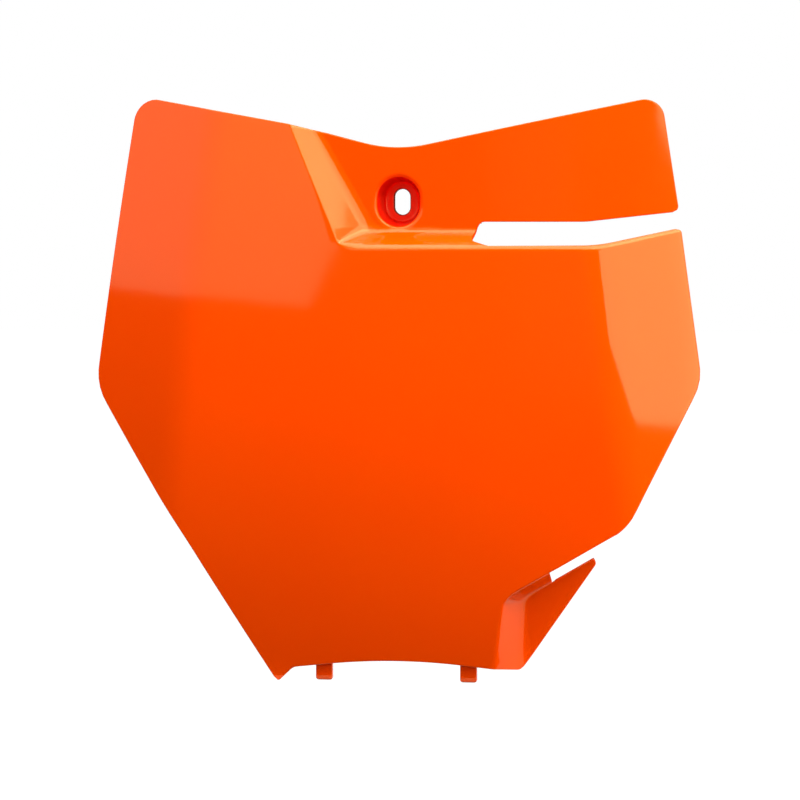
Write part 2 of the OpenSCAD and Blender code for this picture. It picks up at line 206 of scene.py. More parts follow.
def tail_lift(x):
    """Rise of the tail's gap: straight outside the tail's crest."""
    return TAIL_SLOPE * np.maximum(x - TAIL_CREST_X, 0)


def crest_line(z):
    """Crest of the slanting wall: upright below the shelf, then leaning outwards."""
    return CREST_X - CREST_SLANT * np.maximum(z - SHELF_CREST_Z, 0)


def toe_line(z):
    """Toe of the slanting wall, in the same way."""
    return TOE_X - TOE_SLANT * np.maximum(z - SHELF_TOE_Z, 0)


def tail_line(z):
    """Crest of the tail's upright wall: leaning inwards below the gap."""
    below = np.maximum(TAIL_CREST_Z - z, 0)
    return TAIL_CREST_X - (TAIL_CREST_X - TAIL_HEM_X) * below / (TAIL_CREST_Z - HEM_Z)


ends = [round(float(line(30.0)), 1) for line in (crest_line, toe_line)]
print("crest and toe of the slanting wall, 30 mm above the screw slot, mm:", ends)


# %% The walls, as shares from 0 on the face to 1 on the panel behind it
def soft_min(a, b):
    """The smaller of a and b, less a parabola where they are nearly equal."""
    return np.minimum(a, b) - np.maximum(SOFT - abs(a - b), 0) ** 2 / (4 * SOFT)


def wall_curve(place, crest_share):
    """Parabola at the crest, straight run, parabola at the toe, from 0 to 1 with no kink."""
    t = np.clip(place, 0, 1)
    slope = 1 / (1 - crest_share / 2 - TOE_SHARE / 2)
    crest = slope * t**2 / (2 * crest_share)
    run = slope * (t - crest_share / 2)
    toe = 1 - slope * (1 - t) ** 2 / (2 * TOE_SHARE)
    return np.where(t < crest_share, crest, np.where(t > 1 - TOE_SHARE, toe, run))


def step_share(x, z):
    """0 on the face, 1 on the wing: the softer of a slanting change-over with a sharp crest
    and a level one with a rounder crest."""
    slanting = (x - crest_line(z)) / (toe_line(z) - crest_line(z))
    crest_z, toe_z = SHELF_CREST_Z + flap_lift(x), SHELF_TOE_Z + wing_lift(x)
    level = (z - crest_z) / (toe_z - crest_z)
    on_level = np.clip((slanting - level) / SOFT + 0.5, 0, 1)
    crest_share = CREST_SHARE + (SHELF_CREST_SHARE - CREST_SHARE) * on_level
    return wall_curve(soft_min(slanting, level), crest_share)


def tail_share(x, z):
    """0 on the face, 1 on the tail: the softer of an upright and a sloping change-over."""
    upright = (x - tail_line(z)) / (TAIL_TOE_X - tail_line(z))
    fall = TAIL_CREST_Z + TAIL_SLOPE * (x - TAIL_CREST_X) - z
    return wall_curve(soft_min(upright, fall / (TAIL_CREST_Z - TAIL_TOE_Z)), CREST_SHARE)


halfway = [round(float(wall_curve(0.5, share)), 2) for share in (CREST_SHARE, SHELF_CREST_SHARE)]
print("share half way across the slanting wall and the level one:", halfway)


# %% The front's depth and its normal
def unit(v):
    """v divided by its length."""
    return v / np.linalg.norm(v, axis=-1, keepdims=True)


def front_y(x, z):
    """Face, plus the share of the way to the wing, plus the share of the tail's depth."""
    face = face_y(x, z)
    return face + step_share(x, z) * (wing_y(x) - face) + TAIL_DEPTH * tail_share(x, z)


def inward(x, z):
    """Unit normal into the wall, (-dy/dx, 1, -dy/dz), from differences of 0.1 mm."""
    h = 0.05
    across = (front_y(x + h, z) - front_y(x - h, z)) / (2 * h)
    up = (front_y(x, z + h) - front_y(x, z - h)) / (2 * h)
    return unit(np.stack([-across, np.ones_like(across), -up], -1))


step = float(front_y(0.0, 0.0) - front_y(0.0, -30.0))
print("depth of the step below the cup, mm:", round(step, 1))

# %% [markdown]
# ## The outline
#
# The outline is a list of corners, each rounded by its own radius, as a
# designer draws it. The sheet is worked out a little inside it, by the radius
# of the rounded rim, and the rim then brings it out to full size.

# %% Corners of the outline, clockwise as seen from the front: across, up, radius
CORNERS = {
    "left_side": (-130.6, -76.9, 21),
    "left_horn": (-114, LEFT_HORN_Z, 10),
    "brow": (-43, 31.8, 60),
    "notch": (-1.5, 20.9, 58),
    "right_horn": (107.2, 43.5, 8),
    "wing_corner": (WING_REACH, WING_EDGE_Z + WING_EDGE_RISE, MOUTH_R),
    "wing_bend": (WING_BEND_EDGE_X, WING_EDGE_Z, 40),
    "gap_top": (GAP_END_X + GAP_LEAN, WING_EDGE_Z, 3),
    "gap_tip": (GAP_END_X, GAP_TIP_Z, 1.6),
    "gap_foot": (GAP_FOOT_X, FLAP_Z, 4),
    "flap_bend": (FLAP_BEND_X, FLAP_Z + 0.3, 60),
    "flap_corner": (FLAP_REACH, FLAP_Z + FLAP_RISE, MOUTH_R),
    "right_side": (124.8, -73.6, 21),
    "shoulder": (SHOULDER_X, SHOULDER_Z, 24),
    "tail_gap_top": (TAIL_GAP_X, FACE_HEM_Z + tail_lift(TAIL_GAP_X), 0.8),
    "tail_gap_foot": (TAIL_GAP_X, TAIL_EDGE_Z + tail_lift(TAIL_GAP_X), 0.8),
    "tail_tip": (TAIL_TIP_X, TAIL_EDGE_Z + tail_lift(TAIL_TIP_X), 1.5),
    "right_foot": (50.9, HEM_Z - 0.6, 3),
    "hem_middle": (0, HEM_Z + 5, 250),
    "hem_step": (7 - LEFT_FOOT_X, HEM_Z, 5),
    "left_foot": (-LEFT_FOOT_X, LEFT_FOOT_Z, 1.5),
    "left_flank": (-89.5, -137, 500),
}
NAMES = list(CORNERS)
ARC_POINTS = 33


def rounded(name):
    """Points of one corner's arc. Its centre lies on the bisector at radius / sin(half the
    corner's angle), and the rim's radius comes off an outer corner and onto an inner one."""
    k = NAMES.index(name)
    a, b, c = (np.array(CORNERS[NAMES[i % len(NAMES)]][:2], float) for i in (k - 1, k, k + 1))
    radius = CORNERS[name][2]
    u, v = unit(a - b), unit(c - b)
    half = math.acos(u @ v) / 2
    turn = np.sign(u[0] * v[1] - u[1] * v[0])
    centre = b + unit(u + v) * radius / math.sin(half)
    start = b + u * radius / math.tan(half) - centre
    sweep = turn * (math.pi - 2 * half) * np.linspace(0, 1, ARC_POINTS)
    angle = math.atan2(start[1], start[0]) - sweep
    return centre + (radius - turn * RIM_R) * np.stack([np.cos(angle), np.sin(angle)], 1)


def edge(first, last, by):
    """Sorted table of the outline from the middle of one corner to the middle of another,
    for np.interp: by 0 reads the height from x, by 1 reads x from the height."""
    k, middle = NAMES.index(first), ARC_POINTS // 2
    between = (NAMES.index(last) - k) % len(NAMES)
    arcs = [rounded(NAMES[(k + i) % len(NAMES)]) for i in range(between + 1)]
    path = np.concatenate([arcs[0][middle:], *arcs[1:-1], arcs[-1][: middle + 1]])
    path = path[np.argsort(path[:, by], kind="stable")]
    return path[:, by], path[:, 1 - by]


TOP, HEM = edge("left_horn", "right_horn", 0), edge("right_foot", "left_foot", 0)
LEFT, WING_SIDE = edge("left_foot", "left_horn", 1), edge("right_horn", "wing_corner", 1)
WING_EDGE, GAP_END = edge("wing_corner", "gap_top", 0), edge("gap_top", "gap_foot", 1)
FLAP_EDGE, FLAP_SIDE = edge("gap_foot", "flap_corner", 0), edge("flap_corner", "shoulder", 1)
FACE_HEM, TAIL_SIDE = edge("shoulder", "tail_gap_top", 0), edge("tail_tip", "right_foot", 1)
print("outline corners:", len(CORNERS), " top edge points:", len(TOP[0]))

# %% [markdown]
# ## A grid that follows the edges
#
# A plain square grid would be cut raggedly by a slanting edge. Here every row
# runs along an edge, a gap or a wall, and every column along a side, a crease
# or a wall, as a modeller lays out edge loops by hand. Rows are placed at a base
# height and then lifted by what their neighbouring edges ask for.

# %% Marked rows: base height, and steps to the next one
slant = RIM_R * math.hypot(1, TAIL_SLOPE)
ROWS = {
    "foot": (LEFT_FOOT_Z, 22),
    "under_tail_edge": (TAIL_EDGE_Z - 3, 5),
    "tail_edge": (TAIL_EDGE_Z - slant, 12),
    "face_hem": (FACE_HEM_Z + slant, 5),
    "over_face_hem": (FACE_HEM_Z + 3.5, 22),
    "waist": (WAIST_Z, 18),
    "shelf_crest": (SHELF_CREST_Z, 6),
    "flap_edge": (FLAP_Z - RIM_R, 8),
    "gap_tip": (GAP_TIP_Z, 10),
    "shelf_toe": (SHELF_TOE_Z, 7),
    "wing_edge": (WING_EDGE_Z + RIM_R, 6),
    "over_wing_edge": (WING_EDGE_Z + MOUTH_R + 1, 22),
    "under_top": (33.7, 12),
    "top": (LEFT_HORN_Z, 0),
}
BASE = {name: height for name, (height, steps) in ROWS.items()}
HEIGHTS = np.array(list(BASE.values()))
UNDER_TOP_SHARE = 0.75  # how far up that row lies, from the row over the wing's edge to the top


def spaced(marks, steps):
    """Even steps from each mark to the next, along the last axis of marks."""
    runs = []
    for k, n in enumerate(steps[:-1]):
        here, there = marks[..., k : k + 1], marks[..., k + 1 : k + 2]
        runs.append(here + (there - here) * np.arange(n) / n)
    return np.concatenate([*runs, marks[..., -1:]], -1)


def lift(x, base):
    """Sum over the marked rows of their rise at x, weighted by how near each one is."""
    tail, wing, top = tail_lift(x), wing_lift(x), np.interp(x, *TOP)
    face_hem = np.interp(x, *FACE_HEM) - BASE["face_hem"]
    flap_edge = np.interp(x, *FLAP_EDGE) - BASE["flap_edge"]
    wing_edge = np.interp(x, *WING_EDGE) - BASE["wing_edge"]
    under_top = top * UNDER_TOP_SHARE + (1 - UNDER_TOP_SHARE) * (BASE["over_wing_edge"] + wing)
    rises = {
        "foot": np.interp(x, *HEM) - BASE["foot"],
        "under_tail_edge": tail,
        "tail_edge": tail,
        "face_hem": np.where(x < TAIL_GAP_X, tail, face_hem),
        "over_face_hem": tail,
        "shelf_crest": flap_lift(x),
        "flap_edge": np.where(x < GAP_FOOT_X - 1, 0, flap_edge),
        "shelf_toe": wing,
        "wing_edge": np.where(x < GAP_END_X + GAP_LEAN, 0, wing_edge),
        "over_wing_edge": wing,
        "under_top": under_top - BASE["under_top"],
        "top": top - BASE["top"],
    }
    rises = np.stack([rises.get(name, np.zeros_like(x)) for name in ROWS])
    near = np.stack([np.interp(base, HEIGHTS, row) for row in np.eye(len(HEIGHTS))])
    return np.einsum("mr,mrc->rc", near, rises)


row_base = spaced(HEIGHTS, [steps for height, steps in ROWS.values()])
print("rows:", len(row_base))


# %% Lines that the marked columns follow
def crossing(line, start=0.0):
    """Where each row crosses a line x(z): twelve rounds of x = line(base + lift(x))."""
    x = np.full(len(row_base), float(start))
    for _ in range(12):
        x = line(row_base + lift(x[:, None], row_base)[:, 0])
    return x


def right_edge(z):
    """Right end of a row: the wing's side, the face's side or the tail's side."""
    wing, face, tail = (np.interp(z, *side) for side in (WING_SIDE, FLAP_SIDE, TAIL_SIDE))
    lower = np.where(row_base >= BASE["face_hem"], face, tail)
    return np.where(row_base >= BASE["wing_edge"], wing, lower)


left = crossing(lambda z: np.interp(z, *LEFT), -110)
right = crossing(right_edge, 50)
fold = crossing(crease)
tail_crest = tail_line(row_base)
gap = np.where(row_base < BASE["flap_edge"], GAP_FOOT_X - 1, np.interp(row_base, *GAP_END))
gap = np.where(row_base > BASE["wing_edge"], GAP_END_X + GAP_LEAN - RIM_R, gap)
print("narrowest and widest row, mm:", round((right - left).min(), 1), round((right - left).max(), 1))

# %% Marked columns: line, and steps to the next one; none comes nearer to a side than its margin
WIDE, NARROW = 4, 0.6
COLUMNS = {
    "left": (left, 14),
    "left_bend": (np.maximum(-fold - BEND_W, left + WIDE), 12),
    "left_crease": (np.maximum(-fold, left + 2 * WIDE), 16),
    "crest": (crossing(crest_line), 32),
    "toe": (crossing(toe_line), 24),
    "gap": (np.minimum(gap, tail_crest - WIDE), 16),
    "tail_crest": (tail_crest, 14),
    "tail_toe": (np.minimum(TAIL_TOE_X, right - 4 * NARROW), 5),
    "tail_gap": (np.minimum(TAIL_GAP_X - RIM_R, right - 3 * NARROW), 8),
    "right_crease": (np.minimum(fold, right - 2 * NARROW), 12),
    "right_bend": (np.minimum(fold + BEND_W, right - NARROW), 16),
    "right": (right, 0),
}
lines = np.stack([line for line, steps in COLUMNS.values()], 1)
x = spaced(lines, [steps for line, steps in COLUMNS.values()])
z = row_base[:, None] + lift(x, row_base)
front = np.stack([x, front_y(x, z), z], -1)
back = front + WALL * inward(x, z)
ny, nx = x.shape
ids = np.arange(nx * ny).reshape(ny, nx)
print("rows and columns:", ny, nx)


# %% The cells left open: both gaps, and a four-sided hole that the screw cup fills
def starts(table):
    """Number of each marked row or column: the running sum of the steps before it."""
    steps = [steps for mark, steps in table.values()]
    return dict(zip(table, np.cumsum([0, *steps[:-1]]).tolist()))


CUP_CELLS = 16
column_at, row_at = starts(COLUMNS), starts(ROWS)
gap_i, tail_i, toe_i = column_at["gap"], column_at["tail_gap"], column_at["toe"]
cup_i, cup_j, cup_top_j = toe_i + CUP_CELLS, row_at["gap_tip"], row_at["under_top"]
tail_j, hem_j = row_at["tail_edge"], row_at["face_hem"]
flap_j, wing_j = row_at["flap_edge"], row_at["wing_edge"]
solid = np.ones((ny - 1, nx - 1), bool)
solid[flap_j:wing_j, gap_i:] = False
solid[tail_j:hem_j, tail_i:] = False
solid[cup_j:cup_top_j, toe_i:cup_i] = False
print("cells:", int(solid.sum()), "of", solid.size)

# %% [markdown]
# ## Joining loops of points
#
# Everything else on the board is a ring of points carried along a short path:
# the rim over the edge, the cup from its lip to its seat, a lug to its end. So
# one helper joins neighbouring rings with four-sided faces.

# %% Helpers that collect points and faces
points, faces = [front.reshape(-1, 3), back.reshape(-1, 3)], []


def keep(rings):
    """Adds rings of points, an array (rings, around, 3), and returns their numbers."""
    first = sum(len(kept) for kept in points)
    points.append(rings.reshape(-1, 3))
    return first + np.arange(len(points[-1])).reshape(rings.shape[:2])


def skin(rings):
    """Four-sided faces between each ring and the next, closed round the ring."""
    a, b = rings[:-1], rings[1:]
    faces.append(np.stack([a, np.roll(a, -1, 1), np.roll(b, -1, 1), b], -1).reshape(-1, 4))


def sheet(numbers):
    """Four-sided faces over the solid cells of a grid of point numbers."""
    lower, upper = numbers[:-1], numbers[1:]
    cells = np.stack([lower[:, :-1], lower[:, 1:], upper[:, 1:], upper[:, :-1]], -1)
    return cells[solid]


back_ids = nx * ny + ids
faces += [sheet(ids), sheet(back_ids)[:, ::-1]]
print("faces of the front and back sheets:", sum(len(part) for part in faces))

# %% [markdown]
# ## The rounded rim
#
# A mould leaves a small radius on every edge, and in a glossy part that radius
# catches a thin line of light all round. The rim is a profile of two quarter
# rounds and a short flat, carried along the one loop that runs round the board
# and in and out of both gaps.

# %% The loop round the board, clockwise from the left foot
last_i, last_j = nx - 1, ny - 1
loop = np.concatenate([
    ids[:, 0],
    ids[last_j, 1:],
    ids[wing_j:last_j, last_i][::-1],
    ids[wing_j, gap_i:last_i][::-1],
    ids[flap_j:wing_j, gap_i][::-1],
    ids[flap_j, gap_i + 1 :],
    ids[hem_j:flap_j, last_i][::-1],
    ids[hem_j, tail_i:last_i][::-1],
    ids[tail_j:hem_j, tail_i][::-1],
    ids[tail_j, tail_i + 1 :],
    ids[:tail_j, last_i][::-1],
    ids[0, 1:last_i][::-1],
])
print("points round the rim:", len(loop), " unlike:", len(set(loop.tolist())))


def along(path):
    """Unit tangent of a closed path: the two neighbouring steps, the shorter one counting more."""
    ahead, behind = np.roll(path, -1, 0) - path, path - np.roll(path, 1, 0)
    ahead_l = np.linalg.norm(ahead, axis=1, keepdims=True)
    behind_l = np.linalg.norm(behind, axis=1, keepdims=True)
    return unit(ahead / ahead_l * behind_l + behind / behind_l * ahead_l)


# %% The rim: out and back along a quarter round, a flat and a quarter round
quarter = np.radians(np.linspace(0, 90, 7))
rise, run = RIM_R * np.sin(quarter), RIM_R * (1 - np.cos(quarter))
out = np.concatenate([rise, rise[::-1]])[1:-1, None, None]
down = np.concatenate([run, WALL - run[::-1]])[1:-1, None, None]
edge_front = front.reshape(-1, 3)[loop]
into = unit(back.reshape(-1, 3)[loop] - edge_front)
outward = unit(np.cross(along(edge_front), into))
rim = edge_front + out * outward + down * into
skin(np.concatenate([loop[None], keep(rim), nx * ny + loop[None]]))
print("rings of the rim:", len(rim))

# %% [markdown]
# ## The screw cup
#
# The cup is a profile of half-widths and depths, carried round an oblong: a
# rounded lip, a tapered wall, a fillet, a flat floor, the slot, and then back
# up the outside. A few rings first join the grid's four-sided hole to the oblong.

# %% Oblong rings and quarter rounds
def oblong(radius, half, angle):
    """Point at an angle on an oblong of that end radius and half length between its end
    centres: where the ray from the middle meets the straight side, or else the end's circle."""
    c, s = np.abs(np.cos(angle)), np.abs(np.sin(angle))
    side = radius / np.maximum(c, 1e-9)
    end = half * s + np.sqrt(np.maximum(radius**2 - half**2 * c**2, 0))
    reach = np.where(radius * s <= half * c, side, end)
    return reach * np.cos(angle), reach * np.sin(angle)


def arc(radius, depth, r, start, end, steps=6):
    """Quarter-round part of a profile about the centre (radius, depth), in degrees."""
    a = np.radians(np.linspace(start, end, steps))
    return [(radius + r * math.cos(t), depth + r * math.sin(t)) for t in a]


hole = np.concatenate([
    ids[cup_j, toe_i:cup_i],
    ids[cup_j:cup_top_j, cup_i],
    ids[cup_top_j, toe_i + 1 : cup_i + 1][::-1],
    ids[cup_j + 1 : cup_top_j + 1, toe_i][::-1],
])
hole_x, hole_z = front.reshape(-1, 3)[hole, 0], front.reshape(-1, 3)[hole, 2]
around = np.arctan2(hole_z, hole_x)


def patch(radius, rings=7):
    """x and z of the rings between the grid's hole and an oblong, in even steps."""
    ox, oz = oblong(radius, CUP_STRETCH / 2, around)
    share = np.linspace(0, 1, rings + 1)[1:, None]
    return hole_x + share * (ox - hole_x), hole_z + share * (oz - hole_z)


print("points round the cup:", len(hole))

# %% Lip, wall, floor, slot, seat and outside, as one profile of (radius, depth)
taper = (CUP_W - FLOOR_W) / 2 / (WING_FRONT - FLOOR_T)
outside = FLOOR_W / 2 + WALL
cup = [
    *arc(CUP_W / 2 + CUP_LIP_R, -WING_FRONT + CUP_LIP_R, CUP_LIP_R, -90, -180, 8)[1:],
    *arc(FLOOR_W / 2 - FLOOR_R, -FLOOR_T - FLOOR_R, FLOOR_R, 8, 90),
    (SLOT_W / 2 + SLOT_RING, -FLOOR_T),
    *arc(SLOT_W / 2 + SLOT_EDGE_R, -FLOOR_T + SLOT_EDGE_R, SLOT_EDGE_R, -90, -180, 4),
    *arc(SLOT_W / 2 + SLOT_EDGE_R, -SLOT_EDGE_R, SLOT_EDGE_R, 180, 90, 4),
    (SLOT_W / 2 + SEAT_RING, 0),
    *arc(outside - SEAT_EDGE_R, -SEAT_EDGE_R, SEAT_EDGE_R, 90, 8, 5),
    *arc(outside + taper * (WING_FRONT - WALL) + CUP_ROOT_R, -WING_FRONT + WALL + CUP_ROOT_R,
         CUP_ROOT_R, 172, 270, 6),
]
radius, depth = np.array(cup).T
to_slot = np.clip((CUP_W / 2 - radius) / (CUP_W / 2 - SLOT_W / 2), 0, 1)[:, None]
half = CUP_STRETCH / 2 + to_slot**3 * ((SLOT_L - SLOT_W) - CUP_STRETCH) / 2
cx, cz = oblong(radius[:, None], half, around[None])
inside = np.stack([cx, np.broadcast_to(depth[:, None], cx.shape), cz], -1)[:-1]

fx, fz = patch(CUP_W / 2 + CUP_LIP_R)
front_patch = np.stack([fx, front_y(fx, fz), fz], -1)
bx, bz = patch(radius[-1])
back_patch = (np.stack([bx, front_y(bx, bz), bz], -1) + WALL * inward(bx, bz))[::-1]
rings = keep(np.concatenate([front_patch, inside, back_patch]))
skin(np.concatenate([hole[None], rings, nx * ny + hole[None]]))
print("screw slot, mm:", SLOT_W, "x", SLOT_L, " rings in the cup:", len(cup))

# %% [markdown]
# ## The lugs
#
# Two tabs hook into the parts below. Each is a rounded rectangle carried
# downwards from inside the wall, set back on a gusset, and its end is drawn in
# by a quarter round.

# %% A lug as rings of a rounded rectangle
def lug(middle):
    """Ring at each height: a rectangle as wide as the lug, from its front depth to its back
    depth, with rounded corners, all drawn in by r (1 - cos t) at the lower end."""
    tab = float(face_y(LUG_X, HEM_Z)) + WALL + LUG_BACK
    height = np.array([*LUG_GUSSET, *LUG_ROOT]) + HEM_Z
    in_wall = face_y(LUG_X, height[:5]) + WALL / 2
    ahead = np.array([*in_wall, tab - 1, tab - 0.2, tab])
    behind = np.interp(height, height[[3, 0]], [tab + LUG_T, ahead[0] + 0.4])
    t = np.radians(np.linspace(0, 80, 7))
    height = np.concatenate([height, LUG_END_Z + LUG_END_R - LUG_END_R * np.sin(t)])[:, None]
    draw = np.concatenate([np.zeros(len(ahead)), LUG_END_R * (1 - np.cos(t))])[:, None]
    ahead = np.concatenate([ahead, [tab] * len(t)])[:, None] + draw
    behind = np.concatenate([behind, [tab + LUG_T] * len(t)])[:, None] - draw
    wide, deep = LUG_W / 2 - draw, (behind - ahead) / 2
    a = np.radians(np.arange(0, 360, 10) + 5)[None]
    r = np.minimum(LUG_EDGE_R, deep * 0.9)
    lx = np.sign(np.cos(a)) * (wide - r) + r * np.cos(a)
    ly = np.sign(np.sin(a)) * (deep - r) + r * np.sin(a) + (ahead + behind) / 2
    return np.stack([middle + lx, ly, np.broadcast_to(height, lx.shape)], -1)


caps = []
for side in (-1, 1):
    rings = keep(lug(side * LUG_X - LUG_SHIFT)[::-1])
    skin(rings)
    caps += [rings[0][::-1].tolist(), rings[-1].tolist()]
print("lugs reach down to, mm:", LUG_END_Z)

# %% [markdown]
# ## One mesh in place of the CAD node
#
# The points go to metres in one step. Points inside the gaps belong to no face
# and are dropped. The rim's narrow faces would tilt the shading of the broad
# ones beside them, so shading is weighted by the area of the faces.

# %% Build the mesh, shade it and fix it to the body
every_point, quads = np.concatenate(points), np.concatenate(faces)
used = np.unique(np.concatenate([quads.ravel(), np.concatenate(caps)]))
place = np.zeros(len(every_point), int)
place[used] = np.arange(len(used))
polygons = place[quads].tolist() + [place[cap].tolist() for cap in caps]
mesh = bpy.data.meshes.new("moulded_board")
mesh.from_pydata(every_point[used] * MM, [], polygons)
mesh.shade_smooth()
board = bpy.data.objects.new("moulded_board", mesh)
bpy.context.scene.collection.objects.link(board)
shading = board.modifiers.new("shading_by_area", "WEIGHTED_NORMAL")
shading.weight = 80

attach(board, "root")
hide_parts("number_board")
print("points:", len(mesh.vertices), " faces:", len(mesh.polygons), " invalid:", mesh.validate())

# %% Measure it: a closed mesh's volume is the sum of a . (b x c) / 6 over its triangles
mesh.calc_loop_triangles()
places = np.array([v.co for v in mesh.vertices])
corners = places[np.array([t.vertices for t in mesh.loop_triangles])]
volume = np.einsum("ij,ij->i", corners[:, 0], np.cross(corners[:, 1], corners[:, 2])).sum() / 6
print("triangles:", len(corners), " volume, cm3:", round(volume * 1e6, 1))

# %% [markdown]
# ## Injection-moulded polypropylene
#
# The plastic is dyed through and leaves a polished mould, so it has one deep
# orange and a clear gloss: IOR 1.49 and a roughness near 0.06. A faint
# unevenness of the surface, some millimetres across, bends the reflections a
# little, and the dye is a touch deeper in places. Light enters a little way,
# which warms the edges and the shadows, and the reflections take on a little
# of the dye's warmth.
#
# In the screw cup, light bounces several times between orange walls, and each
# bounce makes it redder. The render carries that less far than the photograph
# shows it, so shade is painted into the colour there: a deeper red in the cup, a
# brighter red on its floor, and a dark red at the slot's edge.

# %% Colours, and a helper for shader nodes
def linear(code):
    """sRGB hex code as linear red, green, blue and alpha."""
    srgb = np.array([int(code[k : k + 2], 16) for k in (1, 3, 5)]) / 255
    return (*np.where(srgb <= 0.04045, srgb / 12.92, ((srgb + 0.055) / 1.055) ** 2.4).tolist(), 1)


def add(tree, kind, inputs=(), **settings):
    """Adds a shader node, sets its settings, and sets or links its inputs, given by name or number."""
    made = tree.nodes.new(kind)
    for name, value in settings.items():
        setattr(made, name, value)
    for name, value in dict(inputs).items():
        if isinstance(value, bpy.types.NodeSocket):
            tree.links.new(value, made.inputs[name])
        else:
            made.inputs[name].default_value = value
    return made


def new_material(name):
    """A material with an empty node tree and its output."""
    made = bpy.data.materials.new(name)
    made.use_nodes = True
    made.node_tree.nodes.clear()
    return made, made.node_tree, made.node_tree.nodes.new("ShaderNodeOutputMaterial")


print("orange, linear:", [round(v, 3) for v in linear("#F84900")])

# %% The orange all over: its dye, its haze and where the cup is
plastic, tree, output = new_material("injection_moulded_polypropylene")
where = add(tree, "ShaderNodeTexCoord").outputs["Object"]
cloudy = add(tree, "ShaderNodeTexNoise", {"Vector": where, "Scale": 1 / (60 * MM), "Detail": 2.0})
cloud = cloudy.outputs["Fac"]
haze = add(tree, "ShaderNodeMapRange", {"Value": cloud, "To Min": 0.05, "To Max": 0.08})


def mixed_colour(share, first, second):
    """First colour where the share is 0 and second where it is 1; 6 and 7 are the colour inputs."""
    return add(tree, "ShaderNodeMix", {"Factor": share, 6: first, 7: second}, data_type="RGBA").outputs[2]


def within(radius, half, blur):
    """1 inside the upright oblong of that end radius and half length round the origin, 0 outside:
    distance from the line between the end centres, sqrt(x^2 + max(|z| - half, 0)^2), mapped
    over the blur."""
    part = add(tree, "ShaderNodeSeparateXYZ", {0: where}).outputs
    tall = add(tree, "ShaderNodeMath", {0: part["Z"]}, operation="ABSOLUTE")
    over = add(tree, "ShaderNodeMath", {0: tall.outputs[0], 1: half * MM}, operation="SUBTRACT")
    over = add(tree, "ShaderNodeMath", {0: over.outputs[0], 1: 0.0}, operation="MAXIMUM")
    flat = add(tree, "ShaderNodeCombineXYZ", {"X": part["X"], "Y": over.outputs[0]})
    far = add(tree, "ShaderNodeVectorMath", {0: flat.outputs[0]}, operation="LENGTH")
    fade = {"From Min": (radius - blur) * MM, "From Max": radius * MM, "To Min": 1.0, "To Max": 0.0}
    return add(tree, "ShaderNodeMapRange", {"Value": far.outputs["Value"], **fade}).outputs[0]


in_cup = within(radius=CUP_W / 2 + 0.4, half=CUP_STRETCH / 2, blur=0.3)
on_floor = within(radius=FLOOR_W / 2 + 0.4, half=CUP_STRETCH / 2, blur=1.0)
at_slot = within(radius=SLOT_W / 2 + 0.6, half=(SLOT_L - SLOT_W) / 2, blur=0.5)
print("nodes so far:", len(tree.nodes))

# %% The plastic's surface
# Painted shade and bounce light in the screw cup: its wall a deeper red, its floor a brighter red
painted_cup_shade = mixed_colour(on_floor, linear("#D81400"), linear("#FF1200"))
dye_and_painted_shade = mixed_colour(cloud, linear("#F84900"), linear("#F44400"))
dye_and_painted_shade = mixed_colour(in_cup, dye_and_painted_shade, painted_cup_shade)
# Painted shade: a dark red ring at the slot's edge
dye_and_painted_shade = mixed_colour(at_slot, dye_and_painted_shade, linear("#780C00"))
rough = add(tree, "ShaderNodeMix", {"Factor": in_cup, 2: haze.outputs["Result"], 3: 0.25})
uneven = add(tree, "ShaderNodeTexNoise", {"Vector": where, "Scale": 1 / (9 * MM), "Detail": 1.0})
bump = add(tree, "ShaderNodeBump", {
    "Height": uneven.outputs["Fac"],
    "Distance": 0.02 * MM,
    "Strength": 0.5,
})
surface = add(tree, "ShaderNodeBsdfPrincipled", {
    "Base Color": dye_and_painted_shade,
    "Roughness": rough.outputs[0],
    "Normal": bump.outputs["Normal"],
    "IOR": 1.49,
    "Specular Tint": (1.0, 1.0, 0.45, 1.0),
    "Subsurface Weight": 0.08,
    "Subsurface Radius": (1.0, 0.25, 0.05),
    "Subsurface Scale": 1.5 * MM,
})
tree.links.new(surface.outputs["BSDF"], output.inputs["Surface"])
mesh.materials.append(plastic)
print("plastic:", plastic.name, "nodes:", len(tree.nodes))

# %% [markdown]
# ## Studio
#
# The photograph is a cut-out on white. The floor and the world are white to the
# camera through Light Path, and the lamps stay at a plain level at which the
# orange renders about as it is written.
#
# A glossy part is drawn by what it mirrors. One softbox at the left and one at
# the right give the clear reflections on the cheeks and walls, one overhead
# lights the shelf, and two fills give light but no reflection. Black cloths
# keep the rest of the gloss dark, so the orange stays deep. Those on the floor
# also stop the light that would come back up from it.

# %% Floor
def seen(tree):
    """1 for camera, glossy and transmission rays, 0 for the rays that carry light."""
    path = add(tree, "ShaderNodeLightPath").outputs
    direct = {0: path["Is Camera Ray"], 1: path["Is Glossy Ray"]}
    direct = add(tree, "ShaderNodeMath", direct, operation="MAXIMUM").outputs[0]
    either = {0: direct, 1: path["Is Transmission Ray"]}
    return add(tree, "ShaderNodeMath", either, operation="MAXIMUM").outputs[0]


pale, tree, output = new_material("white_paper")
matt = add(tree, "ShaderNodeBsdfDiffuse", {"Color": linear("#B4B4B4")})
glow = add(tree, "ShaderNodeEmission", {"Color": (1, 1, 1, 1), "Strength": 1.17})
share = add(tree, "ShaderNodeMath", {0: seen(tree), 1: 0.85}, operation="MULTIPLY")
mixed = add(tree, "ShaderNodeMixShader", {0: share.outputs[0], 1: matt.outputs[0], 2: glow.outputs[0]})
tree.links.new(mixed.outputs[0], output.inputs["Surface"])

lowest, reach = (LUG_END_Z - 0.1) * MM, 4
ends = [(-reach, -reach, lowest), (reach, -reach, lowest), (reach, reach, lowest), (-reach, reach, lowest)]
floor_mesh = bpy.data.meshes.new("floor")
floor_mesh.from_pydata(ends, [], [(0, 1, 2, 3)])
floor_mesh.materials.append(pale)
floor = bpy.data.objects.new("floor", floor_mesh)
bpy.context.scene.collection.objects.link(floor)
print("floor height, mm:", round(lowest / MM, 1))

